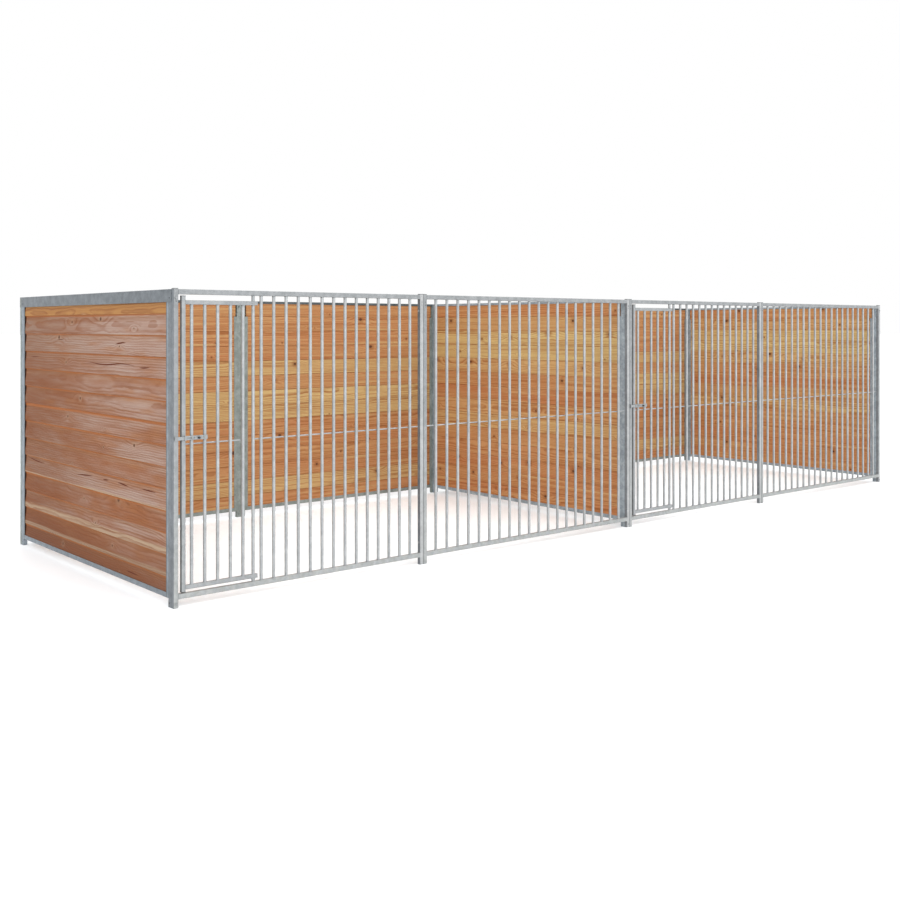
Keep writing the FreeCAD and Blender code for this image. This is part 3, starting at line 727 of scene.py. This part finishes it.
    def cracks(self, places):
        """Mask of lens-shaped cracks at given places, a little wavy."""
        wave = self.math("SUBTRACT", self.drift(self.along, CRACK_WAVES_PER_METRE, detail=0.0), 0.5)
        height = self.math("MULTIPLY_ADD", wave, CRACK_WAVE, self.up)
        mask = 0.0
        for board, start, length, share, width in places:
            centred = self.math("DIVIDE", self.math("SUBTRACT", self.along, start + length / 2), length / 2)
            lens = self.math("MULTIPLY_ADD", self.math("POWER", centred, 2.0), -width / 2, width / 2)
            apart = self.math("ABSOLUTE", self.math("SUBTRACT", height, share * self.pitch))
            gap = self.mark("crack", self.math("SUBTRACT", lens, apart))
            here = self.math("COMPARE", self.row, board, 0.5)
            mask = self.math("MAXIMUM", mask, self.product(gap, here))
        return self.product(mask, self.outside)

    def chance_cracks(self):
        """Mask of cracks that come and go along some boards."""
        wave = self.drift(self.shifted, SPLIT_WAVES_PER_METRE, detail=3.0)
        line = self.math("MULTIPLY_ADD", wave, SPLIT_WAVE, self.product(self.third, SPLIT_SPREAD))
        apart = self.math("ABSOLUTE", self.math("SUBTRACT", self.up, line))
        gate = self.mark("split", self.drift(self.shifted, SPLITS_PER_METRE, detail=2.0, lane=SPLIT_LANE))
        width = self.product(gate, self.math("GREATER_THAN", self.first, SOUND_SHARE), SPLIT_WIDTH)
        return self.product(self.outside, self.math("LESS_THAN", apart, width))


def board_wood(wall, along, outward, index):
    """Softwood boards with a grain, knots and tone of their own, planed inside and weathered outside."""
    g = BoardGraph(wall, along, outward, index)
    inside = g.other(g.outside)
    knot, ring, bend = g.knots(SIDE_KNOTS if along == "Y" else BACK_KNOTS)
    late = g.growth(bend)
    fibre = g.stretched(*FIBRE)
    streak = g.stretched(*STREAK)
    patch = g.stretched(*PATCH)
    fresh = g.inside_tone(SIDE_YELLOW if along == "Y" else BACK_YELLOW, patch)
    tone = g.blend(g.outside, fresh, g.outside_tone(patch, streak))
    lined = g.product(late, g.fade(streak, *LATE_STREAKS, *LATE_STRENGTH), g.calm)
    tone = g.blend(lined, tone, g.either("late"))
    tone = g.blend(g.product(g.mark("fibre", fibre), g.calm), tone, g.either("late"))
    tone = g.blend(g.product(g.mark("streak", streak), g.calm), tone, g.either("late"))
    tone = g.blend(g.product(g.mark("yellow_streak", streak), inside), tone, g.planed["yellow"])
    tone = g.blend(g.product(ring, g.outside, OUTSIDE_KNOT_RING), tone, g.weathered["sapwood"])
    tone = g.blend(g.product(ring, inside, INSIDE_KNOT_RING), tone, g.planed["knot_ring"])
    tone = g.blend(knot, tone, g.either("knot"))
    tone = g.blend(g.sheltered(patch), tone, g.weathered["sheltered"])
    crack = g.cracks(LEFT_CRACKS) if wall == "left_side" else g.chance_cracks()
    tone = g.blend(crack, tone, g.weathered["crack"])
    height = g.math("MULTIPLY_ADD", fibre, FIBRE_HEIGHT, g.product(late, g.other(crack)))
    roughness = g.math("MULTIPLY_ADD", fibre, FIBRE_ROUGHNESS, BOARD_ROUGHNESS)
    return g.surface(tone, roughness, height, BOARD_BUMP, Specular_IOR_Level=BOARD_GLOSS)


# Dressing the frame's parts


def dress(node, material):
    """Gives a part of the frame its material."""
    for slot in frame["nodes"][node].material_slots:
        slot.material = material


def dress_steel():
    """Dresses the steel parts and gives back the doors' material."""
    front = zinc("front_steel", FRONT_STEEL, FRONT_LIGHT, FRONT_RUNS)
    # The bars take the front's tones drawn brighter: painted light on their round faces
    bars = zinc("bar_steel", FRONT_STEEL, BAR_LIGHT, FRONT_RUNS)
    capping = zinc("capping_steel", CAPPING_STEEL, SIDE_LIGHT, WALL_RUNS)
    back = zinc("back_steel", BACK_STEEL, RUN_BACK_LIGHT, WALL_RUNS)
    inner = zinc("inner_steel", INNER_STEEL, RUN_STILE_LIGHT, WALL_RUNS)
    back_capping = back_capping_zinc()
    for subpart in frame["record"]["subparts"]:
        node = subpart["node"]
        if subpart["material_slot"] != "galvanised_steel":
            continue
        if node.endswith("_panel_frame"):
            dress(node, panel_frame_zinc(node))
        elif node.endswith("_capping") and "_back_" in node:
            dress(node, back_capping)
        elif "_back_" in node:
            dress(node, back)
        elif node == "left_side_capping":
            dress(node, capping)
        elif node == "left_side_frame":
            dress(node, left_stile_zinc())
        elif node.endswith("_capping") or node.removesuffix("_frame") in WALLS:
            dress(node, inner)
        elif node.endswith(("_bars", "_hinge_bar", "_rod")):
            dress(node, bars)
        else:
            dress(node, front)
    return front


def dress_plastic():
    finishes = {
        "black_plastic": moulded_plastic("black_plastic", palette(BLACK_PLASTIC, FRONT_LIGHT)),
        "grey_plastic": moulded_plastic("grey_plastic", palette(GREY_PLASTIC, FRONT_LIGHT)),
    }
    for subpart in frame["record"]["subparts"]:
        if subpart["material_slot"] in finishes:
            dress(subpart["node"], finishes[subpart["material_slot"]])


def dress_boards():
    for index, (wall, (along, outward)) in enumerate(WALLS.items()):
        dress(wall + "_boards", board_wood(wall, along, outward, index))


# Welds: leg and step of a bead in metres, sides of a ring, and the ripples along it

BEAD_LEG = 0.0024
BEAD_STEP = 0.003
BEAD_SIDES = 18
BEAD_RIPPLE = 0.16
BEAD_WAVE = 1.7

# Section of a bead, outward from what stands and along it, in legs
BEAD_SECTION = ((-0.4, -0.2), (1.0, -0.2), (0.75, 0.55), (0.25, 0.95), (-0.4, 1.0))


def bead(built, spine, lift, closed):
    """Weld along a spine of points, each with its outward direction: a bulging section with ripples."""
    sections = []
    for index, (point, outward) in enumerate(spine):
        leg = BEAD_LEG * (1 + BEAD_RIPPLE * math.sin(BEAD_WAVE * index))
        places = [point + (outward * out + lift * along) * leg for out, along in BEAD_SECTION]
        sections.append([built.verts.new(place) for place in places])
    following = sections[1:] + sections[:1] if closed else sections[1:]
    for section, after in zip(sections, following):
        for corner in range(len(section)):
            side = (section[corner - 1], section[corner], after[corner], after[corner - 1])
            built.faces.new(side)
    if not closed:
        built.faces.new(sections[0])
        built.faces.new(sections[-1])


def bar_weld(built, centre, radius, lift):
    """Weld round a bar where it stands on a rail."""
    spine = []
    for index in range(BEAD_SIDES):
        angle = 2 * math.pi * index / BEAD_SIDES
        outward = Vector((math.cos(angle), math.sin(angle), 0.0))
        spine.append((centre + outward * radius, outward))
    bead(built, spine, lift, True)


def corner_weld(built, x, depths, z, outward, lift):
    """Straight weld in the corner between a rail and a post, from front to back."""
    count = round((depths[1] - depths[0]) / BEAD_STEP)
    spine = []
    for index in range(count + 1):
        y = depths[0] + (depths[1] - depths[0]) * index / count
        spine.append((Vector((x, y, z)), outward))
    bead(built, spine, lift, False)


def add_welds(name, built, body, material):
    """Makes welds into a smooth piece that rides on a body."""
    bmesh.ops.recalc_face_normals(built, faces=built.faces)
    mesh = bpy.data.meshes.new(name)
    built.to_mesh(mesh)
    built.free()
    for face in mesh.polygons:
        face.use_smooth = True
    mesh.materials.append(material)
    welds = bpy.data.objects.new(name, mesh)
    bpy.context.scene.collection.objects.link(welds)
    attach(welds, body)


def weld_grille(node, count, body, material):
    """Welds at both ends of a row of bars."""
    bar_low, bar_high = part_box("left_bar_panel_bars")
    radius = (bar_high.y - bar_low.y) / 2
    low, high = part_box(node)
    centre = (low + high) / 2
    pitch = (high.x - low.x - 2 * radius) / max(count - 1, 1)
    built = bmesh.new()
    for index in range(count):
        x = low.x + radius + index * pitch if count > 1 else centre.x
        bar_weld(built, Vector((x, centre.y, low.z)), radius, Vector((0, 0, 1)))
        bar_weld(built, Vector((x, centre.y, high.z)), radius, Vector((0, 0, -1)))
    add_welds(node + "_welds", built, body, material)


def weld_rails(node, tube, heights, body, material, ends):
    """Welds above and below each rail where it meets the posts at the given ends."""
    low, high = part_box(node)
    inset = tube / 4
    depths = (low.y + inset, low.y + tube - inset)
    built = bmesh.new()
    for end in ends:
        x = low.x + tube if end > 0 else high.x - tube
        for z, lift in heights:
            corner_weld(built, x, depths, z, Vector((0, 0, lift)), Vector((end, 0, 0)))
    add_welds(node + "_welds", built, body, material)


def make_welds(material):
    for side in ("left", "right"):
        for grille, (count, body) in GRILLES.items():
            weld_grille(side + "_" + grille, count, body.format(side=side), material)
        for panel in ("door_panel", "bar_panel"):
            node = side + "_" + panel + "_frame"
            low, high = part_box(node)
            post = high.y - low.y
            heights = ((low.z + RAIL_FOOT, -1), (low.z + RAIL_FOOT + post, 1), (high.z - post, -1))
            weld_rails(node, post, heights, "kennel", material, (1, -1))
        bars_low, bars_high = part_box(side + "_door_bars")
        feet = ((bars_low.z - DOOR_TUBE, -1), (bars_low.z, 1))
        heads = ((bars_high.z, -1), (bars_high.z + DOOR_TUBE, 1))
        weld_rails(side + "_door_frame", DOOR_TUBE, feet + heads, side + "_door", material, (1,))


# Stage


def floor_finish():
    """Pale matt floor with faint clouds of tone."""
    g = Graph("floor")
    cloud = g.noise(g.place, FLOOR_CLOUDS_PER_METRE)
    return g.surface(g.blend(cloud, *FLOOR_TONES), FLOOR_ROUGHNESS, cloud, FLOOR_BUMP)


def make_floor():
    mesh = bpy.data.meshes.new("floor")
    half = FLOOR_SIZE / 2
    corners = [(-half, -half, 0), (half, -half, 0), (half, half, 0), (-half, half, 0)]
    mesh.from_pydata(corners, [], [(0, 1, 2, 3)])
    mesh.materials.append(floor_finish())
    floor = bpy.data.objects.new("floor", mesh)
    bpy.context.scene.collection.objects.link(floor)


def make_sun(name, direction, strength, softness):
    """Soft light from far away that shines along a direction."""
    data = bpy.data.lights.new(name, "SUN")
    data.energy = strength
    data.angle = math.radians(softness)
    lamp = bpy.data.objects.new(name, data)
    lamp.rotation_euler = Vector(direction).to_track_quat("-Z", "Y").to_euler()
    bpy.context.scene.collection.objects.link(lamp)


def make_light():
    world = bpy.data.worlds.new("studio")
    world.use_nodes = True
    background = world.node_tree.nodes["Background"]
    background.inputs["Color"].default_value = (1.0, 1.0, 1.0, 1.0)
    background.inputs["Strength"].default_value = SKY_STRENGTH
    bpy.context.scene.world = world
    for name, (direction, strength, softness) in SUNS.items():
        make_sun(name, direction, strength, softness)
    bpy.context.scene.view_settings.view_transform = "Standard"


def make_camera():
    data = bpy.data.cameras.new("camera")
    data.sensor_width = SENSOR_WIDTH
    data.lens = FOCAL_PIXELS / IMAGE_SIZE * SENSOR_WIDTH
    data.shift_y = (HORIZON_ROW - IMAGE_SIZE / 2) / IMAGE_SIZE
    camera = bpy.data.objects.new("camera", data)
    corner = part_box("left_door_panel_frame")[0]
    camera.location = corner + CAMERA_FROM_CORNER
    camera.rotation_euler = (math.radians(90), 0.0, -CAMERA_YAW)
    bpy.context.scene.collection.objects.link(camera)
    bpy.context.scene.camera = camera


door_steel = dress_steel()
dress_plastic()
dress_boards()
make_welds(door_steel)
make_floor()
make_light()
make_camera()
